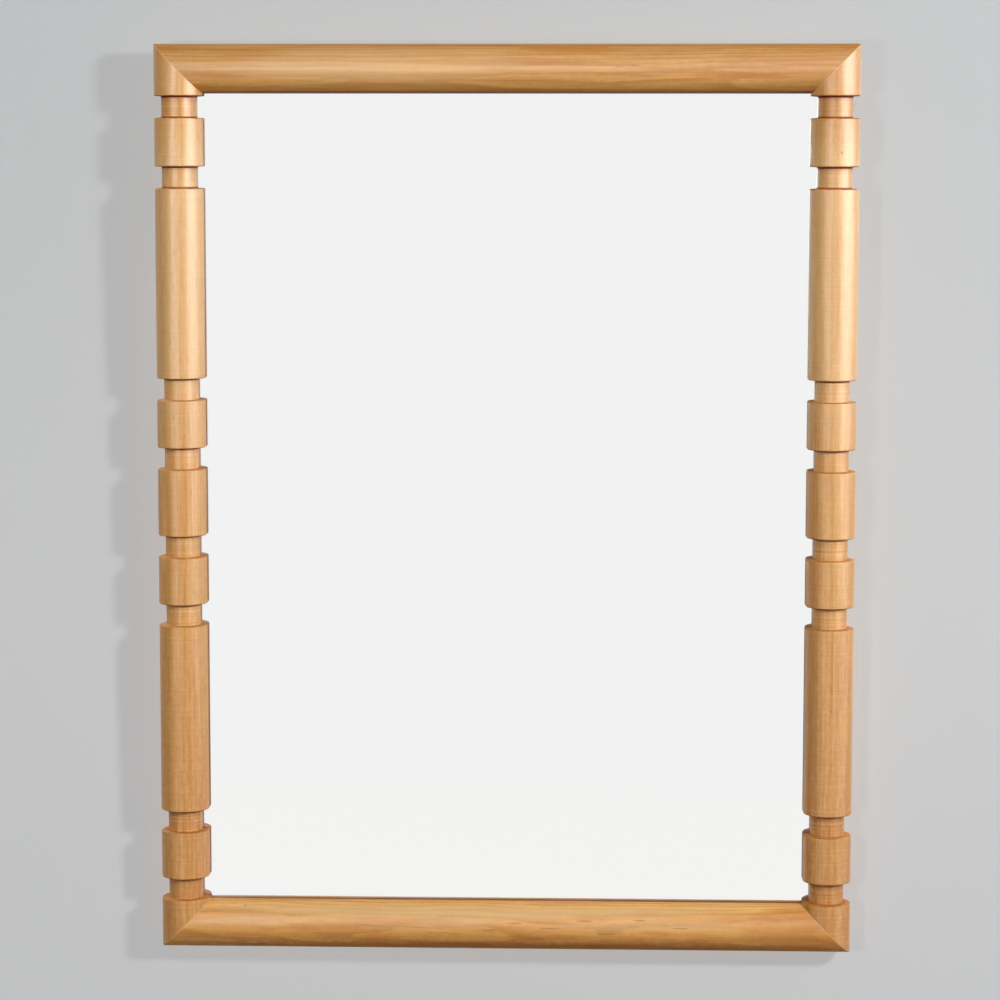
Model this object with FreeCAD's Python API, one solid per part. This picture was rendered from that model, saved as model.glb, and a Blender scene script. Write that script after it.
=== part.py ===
import FreeCAD, Part
import math
import os

# A wall mirror in a frame of turned pine. Two turned stiles and two plain round rails meet
# in dowelled mitres. A rabbet behind them holds the silvered glass, a sheet of card and a
# hardboard back, kept in by flat steel points. Two strap hangers with swinging D rings
# carry the mirror on wall screws, and four rubber bumpers hold it parallel to the wall.
#
# Everything is in millimetres. X runs to the viewer's right, the front faces -Y and Z is
# up. The origin lies in the plane of the wall, behind the middle of the mirror.

# The frame and the turned pattern of its stiles, from the outer corners inwards
OVERALL_WIDTH = 690.0
OVERALL_HEIGHT = 900.0
MEMBER_DIAMETER = 48.0
NECK_DIAMETER = 34.0
BLOCK_MARGIN = 2.5
NECK_LENGTH = 21.5
BEAD_LENGTH = 47.0
MIDDLE_BEAD_LENGTH = 66.0
SHOULDER_SLOPE = 0.5
RIM_EASE = 1.2
FLAT_BEHIND_AXIS = 16.0

# The rabbet and what it holds
RABBET_DEPTH = 10.0
RABBET_FROM_AXIS = 12.0
GLASS_THICKNESS = 4.0
CARD_THICKNESS = 1.0
BOARD_THICKNESS = 3.0
SHEET_CLEARANCE = 1.5

# Flat steel points, each half in the wood and half over the board
POINT_LENGTH = 16.0
POINT_WIDTH = 6.0
POINT_THICKNESS = 0.5
POINT_CORNER = 1.5
POINT_FIT = 0.05
LONG_POINT_SHARES = (0.17, 0.83)
RAIL_POINT_SHARES = (-0.68, -0.23, 0.23, 0.68)

# Beech dowels across each mitre
DOWEL_DIAMETER = 8.0
DOWEL_LENGTH = 30.0
DOWEL_CHAMFER = 1.0
DOWEL_FIT = 0.05
DOWEL_END_ROOM = 0.8
DOWEL_FORWARD = 3.0
DOWEL_INWARD = 13.0
DOWEL_OUTWARD = 7.0

# Rubber bumpers between the frame and the wall
BUMPER_DIAMETER = 14.0
BUMPER_HEIGHT = 6.0
BUMPER_EASE = 1.0
BUMPER_OUTSET = 3.0
BUMPER_DROP = 38.0

# Strap hangers, each a steel strap folded round the bar of a D ring
HANGER_OUTSET = 3.0
HANGER_DROP = 32.0
STRAP_WIDTH = 14.0
STRAP_THICKNESS = 1.2
STRAP_LAYER_GAP = 0.1
STRAP_CORNER = 3.0
STRAP_BEND = 1.6
STRAP_NECK_START = 1.0
STRAP_NECK_RUN = 4.6
STRAP_TAIL = 7.0
RING_WIRE = 3.0
RING_FIT = 0.1
RING_SIDE_GAP = 3.0
RING_BEND = 4.0
RING_LEG = 5.0
RING_REST_GAP = 0.3

# Pan head screws that fix the straps
SCREW_DIAMETER = 3.5
SCREW_LENGTH = 16.0
SCREW_POINT = 3.0
SCREW_HEAD_DIAMETER = 7.2
SCREW_HEAD_HEIGHT = 2.2
SCREW_HEAD_ROUND = 1.6
SCREW_SLOT_WIDTH = 0.9
SCREW_SLOT_LENGTH = 4.2
SCREW_SLOT_DEPTH = 1.3
SCREW_HOLE_ROOM = 0.25
SCREW_FIT = 0.05
SCREW_END_ROOM = 0.5
FIRST_SCREW_DROP = 12.0
SCREW_PITCH = 20.0

# How far every cutting shape runs past what it cuts, and the shortest run drawn
OVERRUN = 5.0
SHORTEST_RUN = 0.001

# Worked out from the sizes above
MEMBER_RADIUS = MEMBER_DIAMETER / 2
NECK_RADIUS = NECK_DIAMETER / 2
AXIS_X = OVERALL_WIDTH / 2 - MEMBER_RADIUS
AXIS_Z = OVERALL_HEIGHT / 2 - MEMBER_RADIUS
BACK_Y = -BUMPER_HEIGHT
AXIS_Y = BACK_Y - FLAT_BEHIND_AXIS
GLASS_FRONT_Y = BACK_Y - RABBET_DEPTH
CARD_Y = GLASS_FRONT_Y + GLASS_THICKNESS
BOARD_Y = CARD_Y + CARD_THICKNESS
POINT_Y = BOARD_Y + BOARD_THICKNESS
RABBET_X = AXIS_X - RABBET_FROM_AXIS
RABBET_Z = AXIS_Z - RABBET_FROM_AXIS
CORNER_BLOCK = MEMBER_DIAMETER + BLOCK_MARGIN
END_PATTERN = CORNER_BLOCK + NECK_LENGTH + BEAD_LENGTH + NECK_LENGTH
MIDDLE_PATTERN = MIDDLE_BEAD_LENGTH / 2 + NECK_LENGTH + BEAD_LENGTH + NECK_LENGTH
LONG_LENGTH = OVERALL_HEIGHT / 2 - END_PATTERN - MIDDLE_PATTERN
LONG_TOP_Z = OVERALL_HEIGHT / 2 - END_PATTERN

WIRE_RADIUS = RING_WIRE / 2
LOOP_RADIUS = WIRE_RADIUS + RING_FIT
PIVOT_Y = BACK_Y + STRAP_THICKNESS + LOOP_RADIUS
PIVOT_Z = LONG_TOP_Z - HANGER_DROP
HANGER_X = AXIS_X + HANGER_OUTSET
STRAP_TOP_Y = BACK_Y + 2 * STRAP_THICKNESS + STRAP_LAYER_GAP
RING_HALF_WIDTH = STRAP_WIDTH / 2 + RING_SIDE_GAP + WIRE_RADIUS
RING_REACH = RING_BEND + RING_LEG + RING_HALF_WIDTH
RING_DROP_BACK = PIVOT_Y - BACK_Y - WIRE_RADIUS - RING_REST_GAP
RING_LEAN = math.degrees(math.asin(RING_DROP_BACK / RING_REACH))

SIDES = {"left": -1, "right": 1}
ENDS = {"top": 1, "bottom": -1}


def vector(x, y, z):
    return FreeCAD.Vector(x, y, z)


X_AXIS = vector(1, 0, 0)
Y_AXIS = vector(0, 1, 0)
Z_AXIS = vector(0, 0, 1)


def block(low, high):
    """A box between two opposite corners, given in any order."""
    near = [min(a, b) for a, b in zip(low, high)]
    size = [abs(a - b) for a, b in zip(low, high)]
    return Part.makeBox(*size, vector(*near))


def bent_edges(points, radii):
    """Straight runs through the points of a closed outline, with a tangent arc at each
    point whose radius isn't zero."""
    count = len(points)
    corners = []
    for i, (corner, radius) in enumerate(zip(points, radii)):
        into = (corner - points[i - 1]).normalize()
        out = (points[(i + 1) % count] - corner).normalize()
        if not radius:
            corners.append((corner, None, corner))
            continue
        half_turn = into.getAngle(out) / 2
        reach = radius * math.tan(half_turn)
        inward = (out - into).normalize()
        centre = corner + inward * (radius / math.cos(half_turn))
        corners.append((corner - into * reach, centre - inward * radius, corner + out * reach))
    edges = []
    for i, (start, middle, end) in enumerate(corners):
        before = corners[i - 1][2]
        if before.distanceToPoint(start) > SHORTEST_RUN:
            edges.append(Part.LineSegment(before, start).toShape())
        if middle:
            edges.append(Part.Arc(start, middle, end).toShape())
    return edges


def bent_wire(points, radii):
    return Part.Wire(Part.__sortEdges__(bent_edges(points, radii)))


def prism(points, radii, along):
    """A flat outline, swept straight along a vector."""
    return Part.Face(bent_wire(points, radii)).extrude(along)


def revolved(points, radii):
    """A closed outline in the plane of X and Z, turned once round the Z axis."""
    return Part.Face(bent_wire(points, radii)).revolve(vector(0, 0, 0), Z_AXIS, 360)


def single(shape):
    """The one solid that a row of cuts leaves."""
    solids = shape.removeSplitter().Solids
    if len(solids) != 1:
        raise ValueError("a cut left %d solids" % len(solids))
    return solids[0]


# Frame members


def turned_stile():
    """The full turning along Z, from the lower end up, before it is cut to fit."""
    half = [CORNER_BLOCK, NECK_LENGTH, BEAD_LENGTH, NECK_LENGTH, LONG_LENGTH, NECK_LENGTH,
            BEAD_LENGTH, NECK_LENGTH]
    lengths = half + [MIDDLE_BEAD_LENGTH] + half[::-1]
    low = -OVERALL_HEIGHT / 2
    points = [vector(0, 0, low - OVERRUN), vector(MEMBER_RADIUS, 0, low - OVERRUN)]
    radii = [0, 0]
    z = low
    for i, length in enumerate(lengths):
        is_neck = i % 2 == 1
        if is_neck:
            points.append(vector(NECK_RADIUS, 0, z + SHOULDER_SLOPE))
            points.append(vector(NECK_RADIUS, 0, z + length - SHOULDER_SLOPE))
            radii += [0, 0]
        else:
            if i > 0:
                points.append(vector(MEMBER_RADIUS, 0, z))
                radii.append(RIM_EASE)
            if i < len(lengths) - 1:
                points.append(vector(MEMBER_RADIUS, 0, z + length))
                radii.append(RIM_EASE)
        z += length
    points += [vector(MEMBER_RADIUS, 0, z + OVERRUN), vector(0, 0, z + OVERRUN)]
    radii += [0, 0]
    return revolved(points, radii)


def round_rail():
    """A plain round bar along X, before it is cut to fit."""
    length = OVERALL_WIDTH + 2 * OVERRUN
    return Part.makeCylinder(MEMBER_RADIUS, length, vector(-length / 2, 0, 0), X_AXIS)


def mitre_prism(outer, inner, half_run, upright):
    """What a member may fill: a long trapezium with 45 degree ends, seen from the front.
    Outer and inner are its long and short sides' distances from the object's centre line,
    and half_run is half the overall size along the member."""
    sign = math.copysign(1, outer)
    reach = half_run - abs(outer)
    far = outer + sign * OVERRUN
    near = inner - sign * OVERRUN
    shape = [(far, reach + abs(far)), (near, reach + abs(near)),
             (near, -reach - abs(near)), (far, -reach - abs(far))]
    front = AXIS_Y - MEMBER_RADIUS - OVERRUN
    if upright:
        points = [vector(a, front, b) for a, b in shape]
    else:
        points = [vector(b, front, a) for a, b in shape]
    return prism(points, [0] * len(points), Y_AXIS * (BACK_Y - front))


def rabbet_cutter():
    return block((-RABBET_X, GLASS_FRONT_Y, -RABBET_Z), (RABBET_X, BACK_Y + OVERRUN, RABBET_Z))


def fitted_stile(side):
    sign = SIDES[side]
    shape = turned_stile().translated(vector(sign * AXIS_X, AXIS_Y, 0))
    outer = sign * OVERALL_WIDTH / 2
    inner = sign * (OVERALL_WIDTH / 2 - MEMBER_DIAMETER)
    shape = shape.common(mitre_prism(outer, inner, OVERALL_HEIGHT / 2, True))
    shape = shape.cut([rabbet_cutter()] + dowel_holes() + point_slots() + screw_holes())
    return single(shape)


def fitted_rail(end):
    sign = ENDS[end]
    shape = round_rail().translated(vector(0, AXIS_Y, sign * AXIS_Z))
    outer = sign * OVERALL_HEIGHT / 2
    inner = sign * (OVERALL_HEIGHT / 2 - MEMBER_DIAMETER)
    shape = shape.common(mitre_prism(outer, inner, OVERALL_WIDTH / 2, False))
    shape = shape.cut([rabbet_cutter()] + dowel_holes() + point_slots())
    return single(shape)


# Dowels


def dowel_places(side, end):
    """The middle and direction of the two dowels that cross one mitre."""
    outwards = vector(SIDES[side], 0, ENDS[end]).normalize()
    across = vector(SIDES[side], 0, -ENDS[end]).normalize()
    centre = vector(SIDES[side] * AXIS_X, AXIS_Y - DOWEL_FORWARD, ENDS[end] * AXIS_Z)
    return [(centre + outwards * shift, across) for shift in (-DOWEL_INWARD, DOWEL_OUTWARD)]


def dowel_holes():
    radius = DOWEL_DIAMETER / 2 + DOWEL_FIT
    length = DOWEL_LENGTH + 2 * DOWEL_END_ROOM
    holes = []
    for side in SIDES:
        for end in ENDS:
            for centre, across in dowel_places(side, end):
                mouth = centre - across * (length / 2)
                holes.append(Part.makeCylinder(radius, length, mouth, across))
    return holes


def dowel(centre, across):
    pin = Part.makeCylinder(DOWEL_DIAMETER / 2, DOWEL_LENGTH)
    rims = [edge for edge in pin.Edges if isinstance(edge.Curve, Part.Circle)]
    pin = pin.makeChamfer(DOWEL_CHAMFER, rims)
    turn = FreeCAD.Rotation(Z_AXIS, across)
    pin.Placement = FreeCAD.Placement(centre - across * (DOWEL_LENGTH / 2), turn)
    return pin


# Glass, card and board


def rabbet_sheet(front_y, thickness):
    x = RABBET_X - SHEET_CLEARANCE
    z = RABBET_Z - SHEET_CLEARANCE
    return block((-x, front_y, -z), (x, front_y + thickness, z))


# Points


def stile_point_heights():
    lower = [-LONG_TOP_Z + LONG_LENGTH * share for share in LONG_POINT_SHARES]
    return lower + [0] + [-z for z in reversed(lower)]


def point_places():
    """Each side's points: where each leaves the rabbet's wall, and the way it runs."""
    places = {}
    for side, sign in SIDES.items():
        heights = stile_point_heights()
        places[side] = [(vector(sign * RABBET_X, POINT_Y, z), vector(sign, 0, 0)) for z in heights]
    for end, sign in ENDS.items():
        spots = [RABBET_X * share for share in RAIL_POINT_SHARES]
        places[end] = [(vector(x, POINT_Y, sign * RABBET_Z), vector(0, 0, sign)) for x in spots]
    return places


def flat_point(place, outwards):
    """A flat strip with a spear tip in the wood and round corners over the board."""
    across = outwards.cross(Y_AXIS) * (POINT_WIDTH / 2)
    tip = place + outwards * (POINT_LENGTH / 2)
    neck = tip - outwards * (POINT_WIDTH / 2)
    tail = place - outwards * (POINT_LENGTH / 2)
    points = [tip, neck + across, tail + across, tail - across, neck - across]
    return prism(points, [0, 0, POINT_CORNER, POINT_CORNER, 0], Y_AXIS * POINT_THICKNESS)


def point_slots():
    """The cuts that the points make in the rabbet's walls."""
    slots = []
    for row in point_places().values():
        for place, outwards in row:
            across = outwards.cross(Y_AXIS) * (POINT_WIDTH / 2 + POINT_FIT)
            end = place + outwards * (POINT_LENGTH / 2 + POINT_FIT)
            start = place - outwards * OVERRUN
            shoulder = end - outwards * (POINT_WIDTH / 2 + POINT_FIT)
            points = [start - across, shoulder - across, end, shoulder + across, start + across]
            slot = prism(points, [0] * len(points), Y_AXIS * (POINT_THICKNESS + 2 * POINT_FIT))
            slots.append(slot.translated(vector(0, -POINT_FIT, 0)))
    return slots


# Bumpers


def bumper(side, end):
    radius = BUMPER_DIAMETER / 2
    points = [vector(0, 0, 0), vector(radius, 0, 0), vector(radius, 0, BUMPER_HEIGHT),
              vector(0, 0, BUMPER_HEIGHT)]
    pad = revolved(points, [0, 0, BUMPER_EASE, 0])
    x = SIDES[side] * (AXIS_X + BUMPER_OUTSET)
    z = ENDS[end] * (OVERALL_HEIGHT / 2 - BUMPER_DROP)
    pad.Placement = FreeCAD.Placement(vector(x, BACK_Y, z), FreeCAD.Rotation(Z_AXIS, Y_AXIS))
    return pad


# Hangers


def screw_drops():
    return [FIRST_SCREW_DROP, FIRST_SCREW_DROP + SCREW_PITCH]


def strap_outline():
    """The folded strap seen from the side: the outline of a strip that lies on the frame,
    goes round the ring's bar and comes down again over itself."""
    half = STRAP_THICKNESS / 2
    lower_y = BACK_Y + half
    upper_y = STRAP_TOP_Y - half
    loop = LOOP_RADIUS + half
    foot_z = PIVOT_Z - screw_drops()[-1] - STRAP_TAIL
    neck_z = PIVOT_Z - STRAP_NECK_START
    middle = [(lower_y, foot_z, 0), (lower_y, PIVOT_Z + loop, loop),
              (PIVOT_Y + loop, PIVOT_Z + loop, loop), (PIVOT_Y + loop, neck_z, STRAP_BEND),
              (upper_y, neck_z - STRAP_NECK_RUN, STRAP_BEND), (upper_y, foot_z, 0)]
    sides = []
    for sign in (1, -1):
        side = []
        for i, (y, z, radius) in enumerate(middle):
            here = vector(0, y, z)
            last = min(i + 1, len(middle) - 1)
            first = max(i - 1, 0)
            into = vector(0, *middle[max(i, 1)][:2]) - vector(0, *middle[first][:2])
            out = vector(0, *middle[last][:2]) - vector(0, *middle[min(i, len(middle) - 2)][:2])
            into.normalize()
            out.normalize()
            normal = X_AXIS.cross(into + out).normalize() * sign
            shift = half / math.cos(into.getAngle(out) / 2)
            bend = radius
            if radius:
                bend += -half if (out - into).dot(normal) > 0 else half
            side.append((here + normal * shift, bend))
        sides.append(side)
    outline = sides[0] + sides[1][::-1]
    return [point for point, _ in outline], [radius for _, radius in outline]


def strap(side):
    x = SIDES[side] * HANGER_X
    points, radii = strap_outline()
    sheet = prism(points, radii, X_AXIS * STRAP_WIDTH).translated(vector(x - STRAP_WIDTH / 2, 0, 0))
    foot_z = PIVOT_Z - screw_drops()[-1] - STRAP_TAIL
    head_z = PIVOT_Z + LOOP_RADIUS + STRAP_THICKNESS + OVERRUN
    half = STRAP_WIDTH / 2
    plan = [vector(x - half, BACK_Y - OVERRUN, foot_z), vector(x + half, BACK_Y - OVERRUN, foot_z),
            vector(x + half, BACK_Y - OVERRUN, head_z), vector(x - half, BACK_Y - OVERRUN, head_z)]
    trim = prism(plan, [STRAP_CORNER, STRAP_CORNER, 0, 0], Y_AXIS * (BUMPER_HEIGHT + 2 * OVERRUN))
    radius = SCREW_DIAMETER / 2 + SCREW_HOLE_ROOM
    depth = BUMPER_HEIGHT + 2 * OVERRUN
    mouths = [vector(x, BACK_Y - OVERRUN, PIVOT_Z - drop) for drop in screw_drops()]
    holes = [Part.makeCylinder(radius, depth, mouth, Y_AXIS) for mouth in mouths]
    return single(sheet.common(trim).cut(holes))


def ring(side):
    """A D of round wire that stands up from its bar and leans on the frame's back."""
    x = SIDES[side] * HANGER_X
    w = RING_HALF_WIDTH
    top = RING_BEND + RING_LEG + w
    points = [vector(-w, 0, 0), vector(w, 0, 0), vector(w, 0, top), vector(-w, 0, top)]
    path = bent_wire(points, [RING_BEND, RING_BEND, w, w])
    start = path.OrderedEdges[0]
    tangent = start.tangentAt(start.FirstParameter)
    section = Part.Wire(Part.makeCircle(WIRE_RADIUS, path.OrderedVertexes[0].Point, tangent))
    body = path.makePipeShell([section], True, False)
    body.rotate(vector(0, 0, 0), X_AXIS, RING_LEAN)
    body.translate(vector(x, PIVOT_Y, PIVOT_Z))
    return body


def screw(x, z):
    """A pan head screw pointing forwards into the frame, with a crossed slot."""
    shank = SCREW_DIAMETER / 2
    head = SCREW_HEAD_DIAMETER / 2
    points = [vector(0, 0, -SCREW_LENGTH), vector(shank, 0, -SCREW_LENGTH + SCREW_POINT),
              vector(shank, 0, 0), vector(head, 0, 0), vector(head, 0, SCREW_HEAD_HEIGHT),
              vector(0, 0, SCREW_HEAD_HEIGHT)]
    body = revolved(points, [0, 0, 0, 0, SCREW_HEAD_ROUND, 0])
    half_width = SCREW_SLOT_WIDTH / 2
    half_length = SCREW_SLOT_LENGTH / 2
    floor = SCREW_HEAD_HEIGHT - SCREW_SLOT_DEPTH
    top = SCREW_HEAD_HEIGHT + OVERRUN
    slots = [block((-half_width, -half_length, floor), (half_width, half_length, top)),
             block((-half_length, -half_width, floor), (half_length, half_width, top))]
    body = single(body.cut(slots))
    body.Placement = FreeCAD.Placement(vector(x, STRAP_TOP_Y, z), FreeCAD.Rotation(Z_AXIS, Y_AXIS))
    return body


def screw_holes():
    """Pilot holes from the frame's back, as deep as the screws and a little more."""
    radius = SCREW_DIAMETER / 2 + SCREW_FIT
    depth = SCREW_LENGTH - (STRAP_TOP_Y - BACK_Y) + SCREW_END_ROOM
    holes = []
    for sign in SIDES.values():
        for drop in screw_drops():
            mouth = vector(sign * HANGER_X, BACK_Y + OVERRUN, PIVOT_Z - drop)
            holes.append(Part.makeCylinder(radius, depth + OVERRUN, mouth, -Y_AXIS))
    return holes


# Every node, each in a file of its own


def nodes():
    made = {}
    for side in SIDES:
        made["stile_" + side] = [fitted_stile(side)]
    for end in ENDS:
        made["rail_" + end] = [fitted_rail(end)]
    for end in ENDS:
        for side in SIDES:
            made["dowels_%s_%s" % (end, side)] = [dowel(*place) for place in dowel_places(side, end)]
            made["bumper_%s_%s" % (end, side)] = [bumper(side, end)]
    made["mirror_glass"] = [rabbet_sheet(GLASS_FRONT_Y, GLASS_THICKNESS)]
    made["card_sheet"] = [rabbet_sheet(CARD_Y, CARD_THICKNESS)]
    made["back_board"] = [rabbet_sheet(BOARD_Y, BOARD_THICKNESS)]
    for name, row in point_places().items():
        made["points_" + name] = [flat_point(*place) for place in row]
    for side, sign in SIDES.items():
        heights = [PIVOT_Z - drop for drop in screw_drops()]
        made["hanger_strap_" + side] = [strap(side)]
        made["hanger_ring_" + side] = [ring(side)]
        made["hanger_screws_" + side] = [screw(sign * HANGER_X, z) for z in heights]
    return made


os.makedirs("parts", exist_ok=True)
for name, solids in nodes().items():
    shape = solids[0] if len(solids) == 1 else Part.makeCompound(solids)
    shape.exportStep("parts/%s.step" % name)
    whole = all(solid.isValid() and len(solid.Solids) == 1 for solid in solids)
    print("%-22s %d solids, %9.1f mm3, sound: %s" % (name, len(solids), shape.Volume, whole))

straight_wire = 2 * (RING_HALF_WIDTH - RING_BEND) + 2 * RING_LEG
curved_wire = math.pi * (RING_BEND + RING_HALF_WIDTH)
ring_volume = (straight_wire + curved_wire) * math.pi * WIRE_RADIUS ** 2
print("long cylinder %.1f, ring pivot x %.3f y %.3f z %.3f" % (LONG_LENGTH, HANGER_X, PIVOT_Y, PIVOT_Z))
print("ring leans %.2f degrees, reaches %.2f, its wire by hand %.1f mm3" % (
    RING_LEAN, RING_REACH, ring_volume))
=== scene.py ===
import math

import bmesh
import bpy
from mathutils import Matrix, Vector


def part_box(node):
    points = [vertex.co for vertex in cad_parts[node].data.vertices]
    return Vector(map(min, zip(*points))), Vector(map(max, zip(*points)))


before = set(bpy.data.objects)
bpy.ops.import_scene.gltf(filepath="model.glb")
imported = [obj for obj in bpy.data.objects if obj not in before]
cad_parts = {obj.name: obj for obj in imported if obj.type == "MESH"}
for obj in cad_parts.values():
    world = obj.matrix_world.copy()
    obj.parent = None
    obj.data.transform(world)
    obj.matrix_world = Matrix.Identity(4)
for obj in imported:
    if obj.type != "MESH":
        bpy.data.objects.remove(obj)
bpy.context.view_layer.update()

# The scene shows colours as they are, with the Standard view.
scene = bpy.context.scene
scene.view_settings.view_transform = "Standard"


# Camera
# It stands where the photograph was taken from: 3.1 m in front of the wall, a little to the right of the
# mirror and 0.35 m above its middle, turned slightly left and down, behind a long lens.
SENSOR_WIDTH_MM = 36
LENS_MM = 113.35
CAMERA_PLACE = Vector((0.1039, -3.1168, 0.3460))
CAMERA_YAW_DEG, CAMERA_PITCH_DEG, CAMERA_ROLL_DEG = 2.024, -6.322, -0.049

camera_data = bpy.data.cameras.new("camera")
camera_data.lens = LENS_MM
camera_data.sensor_width = SENSOR_WIDTH_MM
camera = bpy.data.objects.new("camera", camera_data)
scene.collection.objects.link(camera)
# A level camera looks along +Y once it is tipped up a quarter turn from Blender's own straight-down view.
camera.matrix_world = (
    Matrix.Translation(CAMERA_PLACE)
    @ Matrix.Rotation(math.radians(CAMERA_YAW_DEG), 4, "Z")
    @ Matrix.Rotation(math.radians(CAMERA_PITCH_DEG), 4, "X")
    @ Matrix.Rotation(math.radians(CAMERA_ROLL_DEG), 4, "Y")
    @ Matrix.Rotation(math.radians(90), 4, "X")
)
scene.camera = camera


# Wall and floor
# A pale painted wall that the mirror hangs on, and a pale floor well below the picture. The wall leans back
# a little from the bumpers at the foot, as the mirror tips forward when it hangs from its two rings.
WALL_WIDTH, WALL_HEIGHT, WALL_LEAN_DEG = 12.0, 4.2, 1.2
WALL_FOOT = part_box("bumper_bottom_left")[0].z
# Between these two heights the paint turns into the one that is seen high up, and so does its glow.
WALL_TURN = (-0.2, 0.5)
WALL_PAINT, WALL_PAINT_HIGH = (0.485, 0.488, 0.490, 1), (0.330, 0.340, 0.345, 1)
WALL_GLOW, WALL_GLOW_HIGH = (0.338, 0.342, 0.346, 1), (0.368, 0.373, 0.378, 1)
FLOOR_HEIGHT, FLOOR_SIZE, FLOOR_FRONT = -1.3, 14.0, -5.0
FLOOR_PAINT, FLOOR_GLOW = (0.09, 0.09, 0.088, 1), 0.48
FLOOR_FAR_GLOW, FLOOR_NEAR, FLOOR_FAR = 0.93, -1.8, -2.6
FLOOR_TINT = (1.00, 0.99, 0.98)


class Wire:
    """One socket of a material. Sums on it add Math nodes, and node() adds any other kind of node."""

    def __init__(self, tree, socket=None):
        self.tree = tree
        self.socket = socket

    def node(self, kind, settings=None, sockets=None, give=0):
        """A new node with its settings made first, then its sockets' values or links. give is the output."""
        made = self.tree.nodes.new(kind)
        for name, value in (settings or {}).items():
            setattr(made, name, value)
        for name, value in (sockets or {}).items():
            if isinstance(value, Wire):
                self.tree.links.new(value.socket, made.inputs[name])
            else:
                made.inputs[name].default_value = value
        return Wire(self.tree, made.outputs[give]) if made.outputs else made

    def maths(self, operation, *values):
        return self.node("ShaderNodeMath", {"operation": operation}, dict(enumerate(values)))

    def __add__(self, other):
        return self.maths("ADD", self, other)

    def __radd__(self, other):
        return self.maths("ADD", other, self)

    def __sub__(self, other):
        return self.maths("SUBTRACT", self, other)

    def __rsub__(self, other):
        return self.maths("SUBTRACT", other, self)

    def __mul__(self, other):
        return self.maths("MULTIPLY", self, other)

    def __rmul__(self, other):
        return self.maths("MULTIPLY", other, self)

    def __truediv__(self, other):
        return self.maths("DIVIDE", self, other)

    def __abs__(self):
        return self.maths("ABSOLUTE", self)

    def larger(self, other):
        return self.maths("MAXIMUM", self, other)

    def smaller(self, other):
        return self.maths("MINIMUM", self, other)

    def step(self, low, high):
        """0 below low, 1 above high and smooth between, or the reverse where low is the larger."""
        turned = low > high
        sockets = {
            "Value": self, "From Min": min(low, high), "From Max": max(low, high),
            "To Min": turned, "To Max": not turned,
        }
        return self.node("ShaderNodeMapRange", {"interpolation_type": "SMOOTHSTEP"}, sockets)

    def blend(self, low, high):
        """The colour low where this is 0 and high where it is 1."""
        sockets = {"Factor": self, 6: low, 7: high}
        return self.node("ShaderNodeMix", {"data_type": "RGBA"}, sockets, give=2)

    def times(self, shares):
        """This colour, with a share taken of its red, its green and its blue."""
        share = self.node("ShaderNodeCombineColor", sockets=dict(enumerate(shares)))
        settings = {"data_type": "RGBA", "blend_type": "MULTIPLY"}
        return self.node("ShaderNodeMix", settings, {"Factor": 1.0, 6: self, 7: share}, give=2)

    def axis(self, name):
        """The X, Y or Z of this place or direction."""
        return self.node("ShaderNodeSeparateXYZ", sockets={0: self}, give=name)

    def noise(self, scale, give=0, **sockets):
        """Noise over this place, about so many patches per metre."""
        return self.node("ShaderNodeTexNoise", sockets={"Vector": self, "Scale": scale, **sockets}, give=give)

    def bump(self, strength, distance):
        """A surface that this height raises, by so many metres where it is 1."""
        sockets = {"Strength": strength, "Distance": distance, "Height": self}
        return self.node("ShaderNodeBump", sockets=sockets)


def blank_material(name):
    """An empty material, with a wire to start its nodes from."""
    made = bpy.data.materials.new(name)
    made.use_nodes = True
    made.node_tree.nodes.clear()
    return made, Wire(made.node_tree)


def finish_material(made, shader):
    """The shader becomes the material's surface."""
    shader.node("ShaderNodeOutputMaterial", sockets={"Surface": shader})
    return made


def flat_sheet(name, width, depth, place, material):
    """A staged sheet, width by depth, put at its place."""
    form = bmesh.new()
    bmesh.ops.create_grid(form, x_segments=1, y_segments=1, size=0.5)
    bmesh.ops.scale(form, vec=(width, depth, 1), verts=form.verts)
    bmesh.ops.transform(form, matrix=place, verts=form.verts)
    mesh = bpy.data.meshes.new(name)
    form.to_mesh(mesh)
    form.free()
    mesh.materials.append(material)
    sheet = bpy.data.objects.new(name, mesh)
    scene.collection.objects.link(sheet)


# Seen from behind, or by a ray that looks for a light, the wall isn't there: so the back can be lit and seen.
wall_paint, wire = blank_material("wall_paint")
behind = wire.node("ShaderNodeNewGeometry", give="Backfacing")
looks_for_light = wire.node("ShaderNodeLightPath", give="Is Shadow Ray")
high = wire.node("ShaderNodeTexCoord", give="Object").axis("Z").step(*WALL_TURN)
paint = wire.node("ShaderNodeBsdfDiffuse", sockets={"Color": high.blend(WALL_PAINT, WALL_PAINT_HIGH)})
sockets = {"Color": high.blend(WALL_GLOW, WALL_GLOW_HIGH), "Strength": 1}
glow = wire.node("ShaderNodeEmission", sockets=sockets)
painted = wire.node("ShaderNodeAddShader", sockets={0: paint, 1: glow})
no_wall = wire.node("ShaderNodeBsdfTransparent")
sockets = {0: behind.larger(looks_for_light), 1: painted, 2: no_wall}
finish_material(wall_paint, wire.node("ShaderNodeMixShader", sockets=sockets))
upright = (
    Matrix.Translation((0, 0, WALL_FOOT))
    @ Matrix.Rotation(math.radians(90 - WALL_LEAN_DEG), 4, "X")
    @ Matrix.Translation((0, WALL_HEIGHT / 2 + FLOOR_HEIGHT - WALL_FOOT, 0))
)
flat_sheet("wall", WALL_WIDTH, WALL_HEIGHT, upright, wall_paint)

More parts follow.
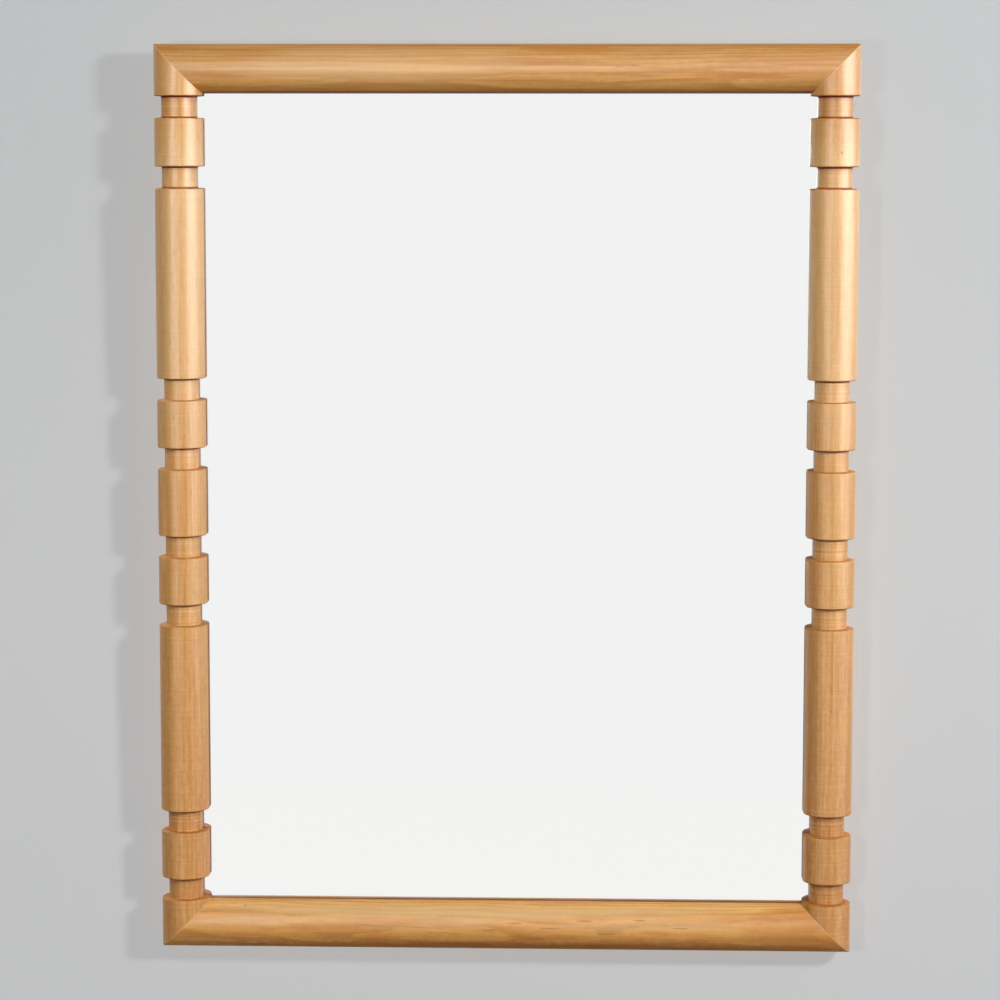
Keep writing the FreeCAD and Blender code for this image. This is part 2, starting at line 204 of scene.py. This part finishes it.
# The floor shows pale and throws little light up; in the mirror its far part is as bright as the lit room.
floor_paint, wire = blank_material("floor_paint")
far = wire.node("ShaderNodeTexCoord", give="Object").axis("Y").step(FLOOR_NEAR, FLOOR_FAR)
mirrored = wire.node("ShaderNodeLightPath", give="Is Glossy Ray")
thrown = wire.node("ShaderNodeLightPath", give="Diffuse Depth").smaller(1)
level = (1 - thrown) * (FLOOR_GLOW + mirrored * far * (FLOOR_FAR_GLOW - FLOOR_GLOW))
sockets = {i: level * share for i, share in enumerate(FLOOR_TINT)}
tinted = wire.node("ShaderNodeCombineColor", sockets=sockets)
glow = wire.node("ShaderNodeEmission", sockets={"Color": tinted, "Strength": 1})
paint = wire.node("ShaderNodeBsdfDiffuse", sockets={"Color": FLOOR_PAINT})
finish_material(floor_paint, wire.node("ShaderNodeAddShader", sockets={0: paint, 1: glow}))
floor_paint.cycles.emission_sampling = "NONE"
middle = Matrix.Translation((0, FLOOR_FRONT + FLOOR_SIZE / 2, FLOOR_HEIGHT))
flat_sheet("floor", FLOOR_SIZE, FLOOR_SIZE, middle, floor_paint)


# Light
# A small soft box high on the right draws the shadow. Large ones on the right and in front give the varnish
# its bright bands, weaker ones and an even room fill the frame, and two behind the wall show the back.
MIRRORED_SHARE = 0.05
ROOM_LEVEL = 0.14


def soft_box(name, place, side, aim=(0, 0, 0), fall=0, shine=0):
    """A square light: fall is the power that lights what it falls on, shine the power that gloss mirrors.
    Only a share of the shine goes on from the mirror to the wood beside it."""
    for part, watts in (("fall", fall), ("shine", shine)):
        if watts == 0:
            continue
        data = bpy.data.lights.new(name + "_" + part, "AREA")
        data.size = side
        data.energy = watts
        data.use_nodes = True
        data.node_tree.nodes.clear()
        wire = Wire(data.node_tree)
        strength = 1
        if part == "shine":
            thrown = wire.node("ShaderNodeLightPath", give="Diffuse Depth")
            mirrored = wire.node("ShaderNodeLightPath", give="Glossy Depth") - 1
            again = wire.node("ShaderNodeClamp", sockets={"Value": thrown.larger(mirrored)})
            strength = 1 - again * (1 - MIRRORED_SHARE)
        lit = wire.node("ShaderNodeEmission", sockets={"Strength": strength})
        wire.node("ShaderNodeOutputLight", sockets={"Surface": lit})
        light = bpy.data.objects.new(name + "_" + part, data)
        scene.collection.objects.link(light)
        light.visible_camera = False
        light.visible_diffuse = part == "fall"
        light.visible_glossy = part == "shine"
        turn = (Vector(aim) - Vector(place)).to_track_quat("-Z", "Y")
        light.matrix_world = Matrix.Translation(place) @ turn.to_matrix().to_4x4()


# Places, aims and sides are in metres: x runs to the right, y away from the camera and z up.
soft_box("key", place=(1.83, -1.75, 0.83), aim=(-0.4, -0.2, 0.9), side=0.27, fall=32, shine=44)
soft_box("front", place=(0.00, -2.2, 1.00), side=0.35, fall=19.5)
soft_box("left", place=(-1.28, -2.8, 0.1), side=0.14, fall=13)
soft_box("window", place=(-2.1, -4.7, 0.95), aim=(0, 0, 0.1), side=1.5, shine=235)
soft_box("side", place=(2.30, -0.95, 1.15), aim=(0.3, 0, 0.4), side=2.3, shine=270)
soft_box("right", place=(2.55, -0.75, -0.10), aim=(0.3, 0, 0), side=1.6, fall=10)
soft_box("card", place=(-0.15, -5.0, -0.4), aim=(-0.15, 0, -0.4), side=3.3, shine=26.8)
soft_box("back_left", place=(-1.6, 2.2, 1.3), side=1.2, fall=26, shine=26)
soft_box("back_right", place=(1.6, 2.2, 0.7), side=1.2, fall=26, shine=26)

# The front and right soft boxes light the frame alone: on the wall they would cast shadows of their own.
lit_by_front = bpy.data.collections.new("lit_by_front")
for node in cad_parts.values():
    lit_by_front.objects.link(node)
for name in ("front_fall", "right_fall"):
    bpy.data.objects[name].light_linking.receiver_collection = lit_by_front

world = bpy.data.worlds.new("room")
scene.world = world
world.use_nodes = True
world.node_tree.nodes.clear()
wire = Wire(world.node_tree)
thrown, mirrored = (wire.node("ShaderNodeLightPath", give=kind + " Depth") for kind in ("Diffuse", "Glossy"))
level = ROOM_LEVEL * (1 - (thrown * mirrored).smaller(1) * (1 - MIRRORED_SHARE))
room = wire.node("ShaderNodeBackground", sockets={"Color": (1, 1, 1, 1), "Strength": level})
wire.node("ShaderNodeOutputWorld", sockets={"Surface": room})


# Stiles
# Two turned pine posts, mitred at their ends and rabbeted behind for the glass. They are turned between
# centres, sanded in the lathe and given two coats of clear satin varnish once the frame is glued up.
PINE_EARLY, PINE_LATE = (0.690, 0.342, 0.086, 1), (0.460, 0.168, 0.024, 1)
PINE_ORANGE, PINE_CREAM = (0.570, 0.205, 0.032, 1), (0.800, 0.450, 0.160, 1)
PINE_PALE, PINE_MITRE_LINE = (0.840, 0.560, 0.270, 1), (0.800, 0.520, 0.240, 1)
PINE_LINE, PINE_FLECK = (0.430, 0.135, 0.020, 1), (0.380, 0.100, 0.008, 1)
PINE_KNOT = (0.180, 0.055, 0.008, 1)
# How far red, green and blue follow the wood's tone, and how far they follow a stain or painted shade.
TONE_SHARES, STAIN_AND_SHADE_SHARES = (0.72, 1.15, 2.1), (0.71, 1.20, 1.28)
VARNISH_WEIGHT, WOOD_AND_VARNISH_IOR = 0.85, 1.5

stile_low, stile_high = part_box("stile_right")
STILE_LINE = (stile_low.x + stile_high.x) / 2
STILE_TOP, FLAT_BACK = stile_high.z, stile_high.y
# A mitre runs where the height is by this much more than the distance from the middle.
MITRE_SHIFT = stile_high.z - stile_high.x
AXIS_TO_BACK = 0.016
# A surface nearer to the axis than the first is a neck's, and one beyond the second is a bead's.
NECK_REACH, BEAD_REACH = 0.0188, 0.0205
# The turned forms from the top down, and how high the upper ends of the eight necks stand.
CORNER_BLOCK, NECK_LENGTH, BEAD_LENGTH, MIDDLE_BEAD_LENGTH = 0.0505, 0.0215, 0.0470, 0.0660
first_neck = STILE_TOP - CORNER_BLOCK
last_neck = MIDDLE_BEAD_LENGTH / 2 + NECK_LENGTH
bead_and_neck = BEAD_LENGTH + NECK_LENGTH
upper_necks = (first_neck, first_neck - bead_and_neck, last_neck + bead_and_neck, last_neck)
NECK_TOPS = upper_necks + tuple(NECK_LENGTH - top for top in upper_necks)


def pine(name, *, along_x, centre, inner, pith, ring, slope, sway, figure, patch, seed, tone, satin, cream,
         flame, marks):
    """Varnished pine for one member. A rail runs along_x, a stile upright. centre is where the member's axis
    lies across the grain, and inner is 1 or -1, the side that faces the glass. The growth rings, ring apart,
    stand round the pith, so far across from the axis and so far along y. They drift by slope per metre of
    length, and sway bends them. figure is how dark their late wood is, patch how much orange wood there is,
    cream how pale the wood is, flame how short its patches are, tone how light it is, satin the varnish's
    roughness and seed the member's place in the noise. marks are single spots on the front: where they are
    across and along, half their width and length, their lean to the grain, their strength and colour."""
    stile, lower_rail, upper_rail = not along_x, along_x and inner > 0, along_x and inner < 0
    made, wire = blank_material(name)
    place = wire.node("ShaderNodeTexCoord", give="Object")
    x, y, z = (place.axis(axis) for axis in "XYZ")
    across, length = (z, x) if along_x else (x, z)
    across = across - centre
    shifted = seed + length
    inward = y - (FLAT_BACK - AXIS_TO_BACK)
    reach = wire.maths("SQRT", across * across + inward * inward)

    def grain(fine, long, detail=3.0, rough=0.5, lean=0.0, give=0):
        """Noise drawn out along the grain: fine and long are its patches per metre across and along."""
        sideways = (across + length * lean) * fine
        spot = wire.node("ShaderNodeCombineXYZ", sockets={0: sideways, 1: y * fine, 2: shifted * long})
        return spot.noise(1.0, give, Detail=detail, Roughness=rough)

    # The growth rings: early wood that darkens slowly into late wood and then begins again at once.
    drift = grain(14, 3.2, give="Color")
    side, depth = (wire.node("ShaderNodeSeparateColor", sockets={0: drift}, give=i) - 0.5 for i in (0, 1))
    ripple = grain(150, 16) - 0.5
    u = across - pith[0] - length * slope + side * sway
    v = y - pith[1] + depth * sway
    radius = wire.maths("SQRT", u * u + v * v)
    phase = wire.maths("FRACT", radius / ring + ripple * 0.55 + 40)
    late = phase.step(0.15, 0.90) * phase.step(1.0, 0.90)
    colour = (late * figure).blend(PINE_EARLY, PINE_LATE)

    # Patches of cream and orange wood. A stile is also painted more orange in its lower half, as painted
    # shade, and paler in its upper half, as the painted sheen of the light high up.
    cloud = grain(110, 7 * flame).step(0.46, 0.70)
    pale = grain(170, 9 * flame, lean=0.02).step(0.50, 0.72)
    colour = (pale * 0.35 + cream).blend(colour, PINE_CREAM)
    colour = (cloud * patch).blend(colour, PINE_ORANGE)
    if stile:
        colour = (z.step(-0.05, -0.45) * 0.36).blend(colour, PINE_ORANGE)
        colour = (z.step(0.00, 0.16) * (0.34 - z.step(0.33, 0.38) * 0.22)).blend(colour, PINE_PALE)

    # The lathe's own lines, which take up more varnish: deep on the necks, fainter on the beads, hardly there
    # on a rail, and none on the back, which is planed flat.
    fibre = grain(1300, 34, rough=0.65)
    streak = grain(420, 9, rough=0.6)
    band = grain(110, 2.5, detail=2.0)
    mottle = grain(260, 120, rough=0.6)
    neck = reach.step(BEAD_REACH, NECK_REACH)
    sockets = {"W": shifted, "Scale": 430, "Detail": 3.0}
    coil = wire.node("ShaderNodeTexNoise", {"noise_dimensions": "1D"}, sockets)
    cut = 0.20 + neck * 0.42 if stile else 0.07
    round_side = y.step(FLAT_BACK - 0.0002, FLAT_BACK - 0.0015)
    lines = (coil - 0.5) * cut * mottle.step(0.25, 0.60) * round_side

    # How light the wood is from place to place, with painted light and shade added on a stile and the lower
    # rail.
    light = lines
    for layer, weight in ((fibre, 0.38), (streak, 0.28), (band, 0.28), (mottle, 0.28)):
        light = light + (layer - 0.5) * weight
    if stile:
        # The grain is bolder low down, and the outer necks are a little darker. The top of the stile is
        # darker
        # too: painted shade, which tones down the strong light there.
        light = light * (1 + z.step(0.05, -0.25) * 0.8) - neck * abs(z).step(0.20, 0.38) * 0.12
        light = light - z.step(0.33, 0.38) * 0.055
    if lower_rail:
        # On the lower rail, painted light and shade: its top is paler, for the light falling on it from
        # above, and it is browner below its middle, for the shade there.
        light = light + across.step(0.0160, 0.0225) * 0.34
        light = light - across.step(0.000, -0.009) * across.step(-0.019, -0.013) * 0.17
    colour = colour.times((light * share + 1.0) * tone for share in TONE_SHARES)

    # Resin flecks: short dark dashes, in a few of the cells of a net that is drawn out along the grain.
    spot = wire.node("ShaderNodeCombineXYZ", sockets={0: across * 700, 1: y * 700, 2: shifted * 110})
    cells = {"Vector": spot, "Scale": 1.0}
    near = wire.node("ShaderNodeTexVoronoi", sockets=cells, give="Distance")
    chance = wire.node("ShaderNodeTexVoronoi", sockets=cells, give="Color")
    chance = wire.node("ShaderNodeSeparateColor", sockets={0: chance})
    fleck = near.step(0.36, 0.10) * chance.step(0.84, 0.94)
    colour = (fleck * 0.42).blend(colour, PINE_FLECK)

    # The single marks, with an uneven edge.
    front = y.step(-0.030, -0.036)
    wobble = (mottle - 0.5) * 0.8
    for where, along, half_width, half_length, lean, strength, tint in marks:
        a = (across - where - (length - along) * lean) / half_width
        b = (length - along) / half_length
        spot = (a * a + b * b + wobble).step(1.0, 0.25) * front
        colour = (spot * strength).blend(colour, tint)

    # Sawn ends and shoulders are darkened, partly as end grain that drinks the varnish and partly as painted
    # shade. On a stile the ones that face up low down, where the light falls on them, hardly are.
    facing = wire.node("ShaderNodeTexCoord", give="Normal")
    end_grain = abs(facing.axis("Z" if stile else "X"))
    stain_and_shade = end_grain.step(0.30, 0.85) * 0.34
    if stile:
        stain_and_shade = stain_and_shade * (1 - facing.axis("Z").step(0.20, 0.60) * z.step(0.30, 0.10) * 0.80)
        # Painted shade: under a bead the corner is dark, for the bead's shadow. Above one it is dark only
        # high up, where it isn't seen from above.
        level = abs(z)
        above = abs(z - NECK_TOPS[0])
        below = abs(z - NECK_TOPS[0] + NECK_LENGTH)
        for top in NECK_TOPS[1:]:
            above = above.smaller(abs(z - top))
            below = below.smaller(abs(z - top + NECK_LENGTH))
        dark = above.step(0.0024, 0.0008) * 0.66
        dark = dark + above.step(0.0080, 0.0012) * level.step(0.15, 0.30) * 0.18
        dark = dark.larger(below.step(0.0022, 0.0006) * z.step(0.20, 0.30) * 0.72)
        stain_and_shade = stain_and_shade.larger(reach.step(0.0200, NECK_REACH) * dark)
        # The mitred corner blocks have neither.
        stain_and_shade = stain_and_shade * level.step(0.4030, 0.4010)

    # Painted shade: a dark line where the lip meets the glass, and a wider one under the upper rail.
    rim = across * inner
    lip_shade = rim.step(0.0150, 0.0200) * y.step(-0.0205, -0.0180) * 0.55
    if upper_rail:
        lip_shade = lip_shade.larger(rim.step(0.0205, 0.0238) * 0.60)
    stain_and_shade = stain_and_shade.larger(lip_shade)
    colour = colour.times(1 - stain_and_shade * share for share in STAIN_AND_SHADE_SHARES)

    # A hair-thin line, pale and proud, along each mitre.
    mitre_line = abs(abs(x) - abs(z) + MITRE_SHIFT).step(0.0009, 0.0003)
    colour = (mitre_line * 0.55).blend(colour, PINE_MITRE_LINE)

    # Stained, sawn and shade-painted wood has no shine. A rail is also dull underneath, and on top where it
    # is dusted.
    bare = stain_and_shade.larger(end_grain.step(0.10, 0.50))
    if along_x:
        bare = bare.larger(across.step(-0.010, -0.022)).larger(facing.axis("Z").step(0.60, 0.90) * 0.85)
    height = lines * 0.9 + fibre * 0.02 - late * 0.03 - mitre_line * 1.5 - fleck * 0.12
    sockets = {
        "Base Color": colour, "Roughness": 0.50 + streak * 0.12, "Normal": height.bump(0.5, 0.0002),
        "IOR": WOOD_AND_VARNISH_IOR, "Specular IOR Level": 0.12,
        "Coat Weight": bare.step(0.5, 0.0) * VARNISH_WEIGHT, "Coat Roughness": satin,
        "Coat IOR": WOOD_AND_VARNISH_IOR,
    }
    return finish_material(made, wire.node("ShaderNodeBsdfPrincipled", sockets=sockets))


def dress(node, made):
    """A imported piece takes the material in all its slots."""
    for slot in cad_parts[node].material_slots:
        slot.material = made


# Each mark: where it is across and along, half its width and length, its lean, its strength and its colour.
left_marks = (
    (0.0100, 0.0810, 0.0004, 0.0160, 0.0, 0.55, PINE_FLECK),
    (0.0115, 0.0120, 0.0006, 0.0045, 0.0, 0.50, PINE_FLECK),
    (-0.0030, 0.2460, 0.0006, 0.0040, 0.0, 0.40, PINE_FLECK),
)
right_marks = (
    # Painted shade: a wide dark patch over the top, and a long one down the side that faces the glass.
    (0.0000, 0.4150, 0.0340, 0.0800, 0.0, 0.20, PINE_LINE),
    (-0.0240, -0.1500, 0.0160, 0.3000, 0.0, 0.30, PINE_LINE),
    (0.0050, 0.3450, 0.0011, 0.0012, 0.0, 0.80, PINE_KNOT),
    (0.0010, -0.2030, 0.0011, 0.0018, 0.0, 0.50, PINE_KNOT),
    (0.0015, -0.1600, 0.0016, 0.0330, 0.0, 0.13, PINE_FLECK),
    (0.0018, -0.2450, 0.0018, 0.0360, 0.0, 0.13, PINE_FLECK),
)
dress("stile_left", pine(
    "pine_stile_left", along_x=False, centre=-STILE_LINE, inner=1, pith=(0.055, 0.040), ring=0.0036,
    slope=0.004, sway=0.012, figure=0.32, patch=0.30, seed=3.1, tone=1.08, satin=0.42, cream=0.02, flame=1.0,
    marks=left_marks,
))
dress("stile_right", pine(
    "pine_stile_right", along_x=False, centre=STILE_LINE, inner=-1, pith=(-0.06, 0.03), ring=0.0039,
    slope=-0.004, sway=0.012, figure=0.34, patch=0.44, seed=7.7, tone=1.01, satin=0.46, cream=0.03, flame=1.0,
    marks=right_marks,
))


# Rails
# Two plain round pine rails, mitred to the stiles and rabbeted like them. They are turned from other boards:
# the lower one is cut nearer to the outside of the log, so that its rings run out in long waves.
rail_low, rail_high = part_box("rail_top")
RAIL_LINE = (rail_low.z + rail_high.z) / 2
# Orange and pale patches, two long dark lines and some short dashes.
top_marks = (
    (0.0180, 0.0650, 0.0060, 0.0600, -0.02, 0.60, PINE_ORANGE),
    (0.0130, -0.0600, 0.0050, 0.0350, -0.03, 0.45, PINE_ORANGE),
    (-0.0120, 0.0100, 0.0008, 0.0900, -0.012, 0.50, PINE_LINE),
    (-0.0118, 0.1450, 0.0008, 0.0700, 0.045, 0.60, PINE_LINE),
    (-0.0132, 0.0200, 0.0022, 0.1000, -0.012, 0.40, PINE_ORANGE),
    (-0.0125, 0.1500, 0.0022, 0.0800, 0.045, 0.60, PINE_ORANGE),
    (0.0030, 0.1080, 0.0004, 0.0050, 0.05, 0.60, PINE_LINE),
    (0.0050, 0.1180, 0.0004, 0.0060, 0.05, 0.60, PINE_LINE),
    (0.0010, 0.1100, 0.0005, 0.0060, 0.05, 0.60, PINE_FLECK),
    (0.0022, 0.1250, 0.0005, 0.0050, 0.05, 0.55, PINE_FLECK),
    (-0.0005, 0.1200, 0.0004, 0.0050, 0.05, 0.55, PINE_LINE),
    (-0.0012, 0.1050, 0.0004, 0.0050, 0.05, 0.55, PINE_LINE),
    (0.0000, -0.0900, 0.0045, 0.0900, 0.0, 0.35, PINE_CREAM),
    # Painted light and shade: a wide pale patch left of the middle, a wide dark one at the right end.
    (0.0040, -0.1200, 0.0230, 0.1600, 0.0, 0.26, PINE_PALE),
    (0.0000, 0.3000, 0.0260, 0.1200, 0.0, 0.20, PINE_LINE),
    (-0.0010, 0.0700, 0.0035, 0.0900, -0.01, 0.35, PINE_CREAM),
)
# A knot, pale patches, a long pale band on top that is painted light, a dark foot that is painted shade,
# two orange patches and short dark dashes.
bottom_marks = (
    (0.0200, -0.2600, 0.0007, 0.0022, 0.0, 0.60, PINE_KNOT),
    (0.0120, 0.0200, 0.0040, 0.0500, 0.0, 0.35, PINE_CREAM),
    (0.0040, -0.1350, 0.0006, 0.0200, -0.04, 0.55, PINE_FLECK),
    (0.0025, -0.0900, 0.0006, 0.0150, -0.02, 0.50, PINE_FLECK),
    (-0.0030, -0.0600, 0.0006, 0.0220, -0.05, 0.50, PINE_FLECK),
    (0.0060, 0.1400, 0.0085, 0.1100, 0.0, 0.22, PINE_PALE),
    (0.0075, -0.0500, 0.0050, 0.0500, 0.03, 0.25, PINE_PALE),
    (0.0110, -0.2450, 0.0035, 0.0450, 0.0, 0.30, PINE_PALE),
    (0.0200, -0.0400, 0.0100, 0.3200, 0.0, 0.60, PINE_PALE),
    (-0.0260, 0.0000, 0.0170, 0.4500, 0.0, 0.62, PINE_FLECK),
    (-0.0120, 0.1500, 0.0045, 0.0900, 0.0, 0.35, PINE_ORANGE),
    (0.0000, 0.2900, 0.0320, 0.0600, 0.0, 0.45, PINE_ORANGE),
    (0.0070, 0.0100, 0.0007, 0.0100, 0.02, 0.70, PINE_LINE),
    (0.0020, 0.0450, 0.0007, 0.0120, 0.0, 0.70, PINE_LINE),
    (0.0095, 0.0800, 0.0007, 0.0090, 0.0, 0.65, PINE_LINE),
    (-0.0035, 0.1000, 0.0008, 0.0110, 0.0, 0.70, PINE_LINE),
    (0.0035, 0.1750, 0.0007, 0.0100, 0.0, 0.65, PINE_LINE),
    (-0.0085, 0.0300, 0.0008, 0.0140, 0.0, 0.70, PINE_LINE),
    (0.0000, -0.0150, 0.0007, 0.0110, 0.03, 0.70, PINE_LINE),
    (0.0105, 0.1350, 0.0007, 0.0080, 0.0, 0.65, PINE_LINE),
)
dress("rail_top", pine(
    "pine_rail_top", along_x=True, centre=RAIL_LINE, inner=-1, pith=(0.050, 0.045), ring=0.0034,
    slope=0.012, sway=0.012, figure=0.60, patch=0.72, seed=12.4, tone=0.92, satin=0.45, cream=0.16, flame=1.0,
    marks=top_marks,
))
dress("rail_bottom", pine(
    "pine_rail_bottom", along_x=True, centre=-RAIL_LINE, inner=1, pith=(0.012, 0.075), ring=0.0042,
    slope=0.012, sway=0.024, figure=0.52, patch=0.52, seed=21.9, tone=1.22, satin=0.40, cream=0.0, flame=2.4,
    marks=bottom_marks,
))


# Mirror glass
# A float glass sheet, silvered and painted grey behind, that lies in the frame's rabbet. Its edges are cut
# and show the glass's own green.
SILVER, GLASS_EDGE, BACKING_PAINT = (0.955, 0.965, 0.960, 1), (0.10, 0.22, 0.17, 1), (0.16, 0.17, 0.18, 1)
EDGE_ROUGHNESS = 0.3
mirror, wire = blank_material("silvered_glass")
forward = wire.node("ShaderNodeTexCoord", give="Normal").axis("Y")
front = forward.step(-0.4, -0.6)
back = forward.step(0.4, 0.6)
colour = back.blend(front.blend(GLASS_EDGE, SILVER), BACKING_PAINT)
sockets = {"Base Color": colour, "Metallic": front, "Roughness": EDGE_ROUGHNESS - front * EDGE_ROUGHNESS}
finish_material(mirror, wire.node("ShaderNodeBsdfPrincipled", sockets=sockets))
dress("mirror_glass", mirror)


# Dowels
# Plain beech pins with chamfered ends, cut from rod, two across each mitre. They are glued into both members
# and hidden once the frame is closed.
BEECH_PALE, BEECH_DARK = (0.560, 0.360, 0.200, 1), (0.400, 0.225, 0.110, 1)
BEECH_RAYS_PER_METRE = (900, 900, 160)
beech, wire = blank_material("beech")
place = wire.node("ShaderNodeTexCoord", give="Object")
ray = wire.node("ShaderNodeMapping", sockets={"Vector": place, "Scale": BEECH_RAYS_PER_METRE})
ray = ray.noise(1.0, Detail=3.0)
colour = ray.step(0.45, 0.7).blend(BEECH_PALE, BEECH_DARK)
sockets = {"Base Color": colour, "Roughness": 0.62, "Normal": ray.bump(0.3, 0.0002)}
finish_material(beech, wire.node("ShaderNodeBsdfPrincipled", sockets=sockets))
for corner in ("top_left", "top_right", "bottom_left", "bottom_right"):
    dress("dowels_" + corner, beech)


# Card sheet
# A sheet of grey pulp card between the silvering and the board, so that the board can't scratch the paint.
# It is cut to the glass and lies there loose.
CARD_PALE, CARD_DARK = (0.300, 0.275, 0.235, 1), (0.190, 0.170, 0.140, 1)
card, wire = blank_material("pulp_card")
pulp = wire.node("ShaderNodeTexCoord", give="Object").noise(700.0, Detail=4.0)
colour = pulp.step(0.35, 0.7).blend(CARD_PALE, CARD_DARK)
sockets = {"Base Color": colour, "Roughness": 0.85, "Normal": pulp.bump(0.2, 0.0002)}
finish_material(card, wire.node("ShaderNodeBsdfPrincipled", sockets=sockets))
dress("card_sheet", card)


# Back board
# A sheet of brown hardboard. Its rough side, with the print of the press's wire mesh and long wood fibres,
# faces the wall.
BOARD_BROWN, BOARD_DARK = (0.165, 0.084, 0.038, 1), (0.090, 0.043, 0.019, 1)
BOARD_FIBRE = (0.300, 0.175, 0.090, 1)
MESH_PITCH = 0.0016
hardboard, wire = blank_material("hardboard")
place = wire.node("ShaderNodeTexCoord", give="Object")
warp, weft = (wire.maths("SINE", place.axis(axis) * (math.tau / MESH_PITCH)) for axis in "XZ")
cloud = place.noise(22.0, Detail=5.0, Roughness=0.6)
pulp = place.noise(420.0, Detail=4.0, Roughness=0.7)
swirl = place.noise(60.0, Detail=2.0, Distortion=1.4)
fibre = abs(swirl - 0.5).step(0.010, 0.002) * pulp.step(0.45, 0.6)
colour = (cloud * 0.6 + pulp * 0.4).step(0.40, 0.62).blend(BOARD_DARK, BOARD_BROWN)
colour = (fibre * 0.5).blend(colour, BOARD_FIBRE)
height = warp.larger(weft) * 0.5 + pulp * 0.8 + fibre * 0.6
sockets = {"Base Color": colour, "Roughness": 0.55 + pulp * 0.3, "Normal": height.bump(0.5, 0.0003)}
finish_material(hardboard, wire.node("ShaderNodeBsdfPrincipled", sockets=sockets))
dress("back_board", hardboard)


# Points
# Flat steel points, punched from strip. Each is pushed with its tip into the rabbet's wall, and the half that
# stays outside holds the board in.
STEEL, STEEL_DULL = (0.560, 0.555, 0.545, 1), (0.330, 0.315, 0.300, 1)


def plated(name, bright, dull, rough, blotches, grit):
    """Metal with dull blotches and the tool's fine marks, both about so many per metre."""
    made, wire = blank_material(name)
    place = wire.node("ShaderNodeTexCoord", give="Object")
    dulled = place.noise(blotches, Detail=5.0).step(0.42, 0.68)
    marks = place.noise(grit, Detail=3.0)
    sockets = {
        "Base Color": dulled.blend(bright, dull), "Metallic": 1.0 - dulled * 0.15,
        "Roughness": rough + dulled * 0.16 + marks * 0.08, "Normal": marks.bump(0.15, 0.0001),
    }
    return finish_material(made, wire.node("ShaderNodeBsdfPrincipled", sockets=sockets))


point_steel = plated("point_steel", STEEL, STEEL_DULL, rough=0.30, blotches=260, grit=2600)
for side in ("left", "right", "top", "bottom"):
    dress("points_" + side, point_steel)


# Hanger straps
# Bright zinc plated steel strip, folded round each ring's straight bar. The same two screws go through both
# leaves of a strap and hold it on the stile.
ZINC, ZINC_DULL = (0.660, 0.665, 0.655, 1), (0.470, 0.475, 0.465, 1)
strap_zinc = plated("strap_zinc", ZINC, ZINC_DULL, rough=0.26, blotches=180, grit=1800)
for side in ("left", "right"):
    dress("hanger_strap_" + side, strap_zinc)


# Hanger rings
# D rings of round wire, butted in the middle of the straight bar and plated like the straps but brighter,
# since they were tumbled. They swing in the folded straps.
RING_ZINC, RING_DULL = (0.720, 0.720, 0.705, 1), (0.540, 0.535, 0.515, 1)
ring_zinc = plated("ring_zinc", RING_ZINC, RING_DULL, rough=0.20, blotches=320, grit=2400)
for side in ("left", "right"):
    dress("hanger_ring_" + side, ring_zinc)


# Hanger screws
# Pan head steel wood screws with a cross recess, passivated yellow. Two hold each strap, in pilot holes in
# the stile's flat back.
PASSIVATED, PASSIVATED_DULL = (0.640, 0.520, 0.300, 1), (0.500, 0.420, 0.270, 1)
screw_steel = plated("screw_steel", PASSIVATED, PASSIVATED_DULL, rough=0.25, blotches=420, grit=3000)
for side in ("left", "right"):
    dress("hanger_screws_" + side, screw_steel)


# Bumpers
# Moulded rubber feet, matt and a little dusty. They are stuck to the frame's flat back near its corners and
# keep it off the wall.
RUBBER, RUBBER_DUST = (0.030, 0.029, 0.028, 1), (0.085, 0.080, 0.074, 1)
rubber, wire = blank_material("bumper_rubber")
dust = wire.node("ShaderNodeTexCoord", give="Object").noise(340.0, Detail=5.0, Roughness=0.65)
colour = dust.step(0.50, 0.75).blend(RUBBER, RUBBER_DUST)
sockets = {"Base Color": colour, "Roughness": 0.62 + dust * 0.2, "Normal": dust.bump(0.25, 0.0001)}
finish_material(rubber, wire.node("ShaderNodeBsdfPrincipled", sockets=sockets))
for corner in ("top_left", "top_right", "bottom_left", "bottom_right"):
    dress("bumper_" + corner, rubber)
